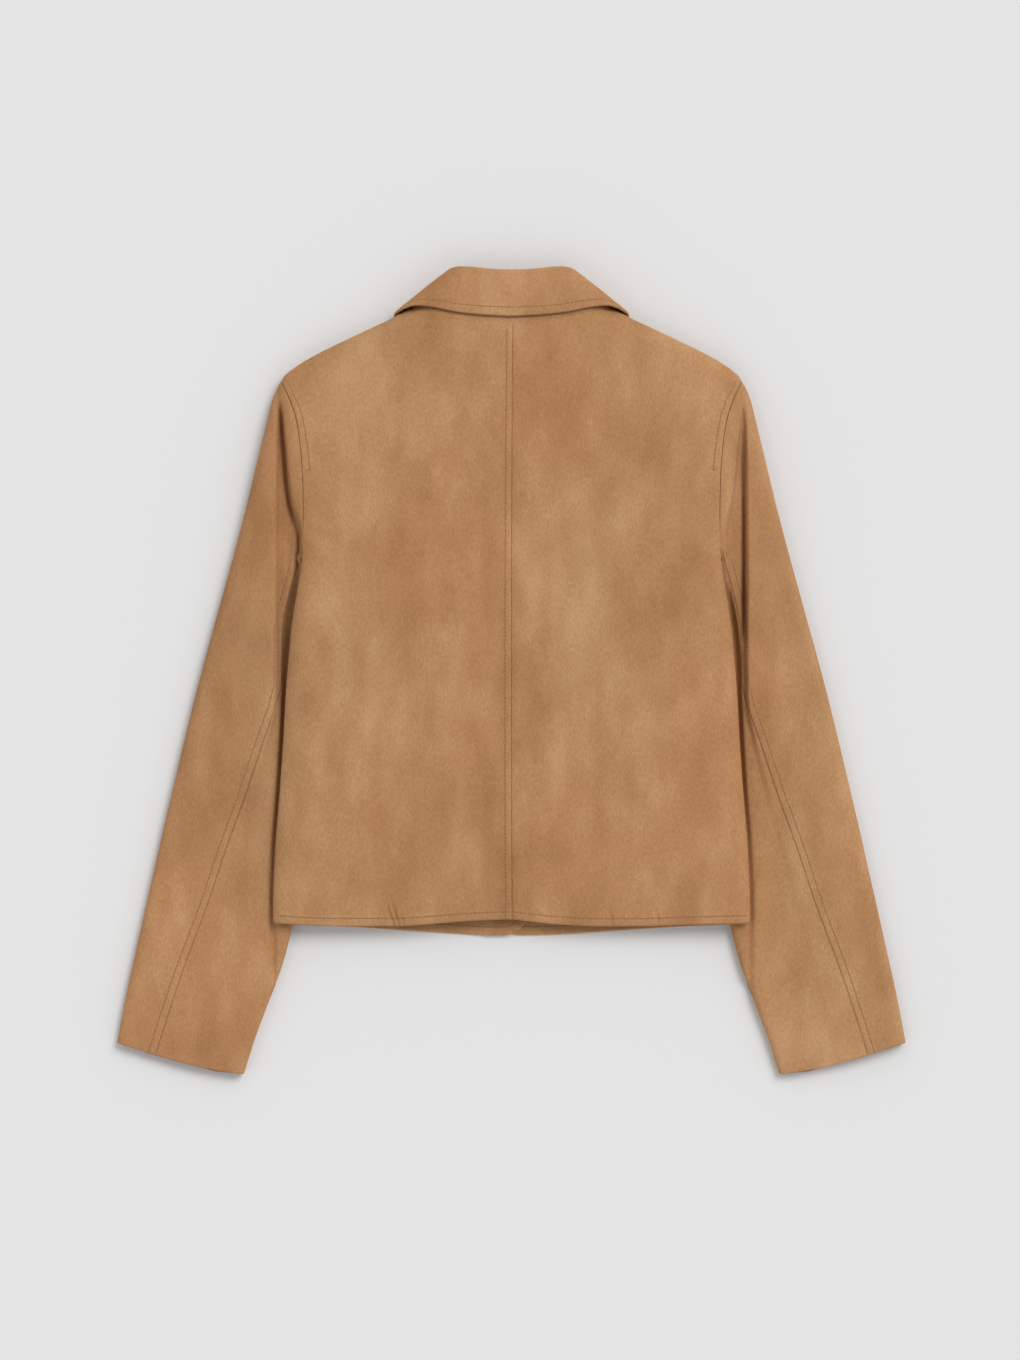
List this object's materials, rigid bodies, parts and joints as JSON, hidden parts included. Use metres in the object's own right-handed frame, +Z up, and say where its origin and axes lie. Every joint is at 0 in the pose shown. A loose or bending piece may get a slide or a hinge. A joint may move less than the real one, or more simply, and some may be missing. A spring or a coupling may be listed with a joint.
{
  "type": "suede jacket",
  "caption": "Short suede jacket with a turned-down collar and two-piece sleeves, laid flat on its front with the back up",
  "frame": {"origin": "under the middle of the laid jacket, on the surface that it lies on", "axes": "+Y towards the collar, +X towards the wearer's right, +Z up out of the back"},
  "size_m": [0.7108, 0.7279, 0.034],
  "materials": {
    "suede": "matte suede nap"
  },
  "bodies": {
    "root": {"back_left": "suede", "back_right": "suede", "front_left": "suede", "front_right": "suede", "collar_leaf": "suede", "collar_stand": "suede", "sleeve_left_top": "suede", "sleeve_left_under": "suede", "sleeve_right_top": "suede", "sleeve_right_under": "suede"}
  },
  "joints": []
}
